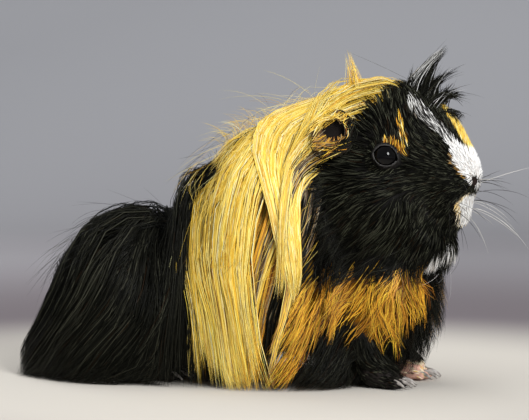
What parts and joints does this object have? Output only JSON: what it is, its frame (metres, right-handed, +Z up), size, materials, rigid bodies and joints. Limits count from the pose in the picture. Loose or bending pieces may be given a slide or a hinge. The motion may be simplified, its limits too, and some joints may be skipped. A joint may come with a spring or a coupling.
{
  "type": "guinea pig",
  "caption": "Long-haired guinea pig sitting with its forequarters raised, black and gold coat hanging to the floor, white blaze, forelock",
  "frame": {"origin": "middle of the underside of the whole form's box, on the floor", "axes": "+X forwards to the nose, +Y to the animal's left, +Z up"},
  "size_m": [0.2164, 0.1114, 0.1489],
  "materials": {
    "black_coat": "long fine glossy black hair with white on the blaze and muzzle",
    "gold_coat": "long fine golden hair, darker orange at its roots",
    "dark_skin": "thin dark skin with short hair",
    "pink_skin": "bare pink skin with short pale hair",
    "claw": "smooth grey horn",
    "eye": "wet gloss"
  },
  "bodies": {
    "root": {"foreclaw_right_1": "claw", "foreclaw_right_2": "claw", "foreclaw_right_3": "claw", "foreclaw_right_4": "claw", "foreleg_right": "dark_skin", "hindclaw_right_1": "claw", "hindclaw_right_2": "claw", "hindclaw_right_3": "claw", "hindleg_right": "dark_skin", "eye_right": "eye", "ear_right": "dark_skin", "foreclaw_left_1": "claw", "foreclaw_left_2": "claw", "foreclaw_left_3": "claw", "foreclaw_left_4": "claw", "foreleg_left": "pink_skin", "hindclaw_left_1": "claw", "hindclaw_left_2": "claw", "hindclaw_left_3": "claw", "hindleg_left": "dark_skin", "eye_left": "eye", "ear_left": "dark_skin", "head": "black_coat", "neck": "gold_coat", "trunk": "gold_coat", "hindquarters": "black_coat"}
  },
  "joints": []
}
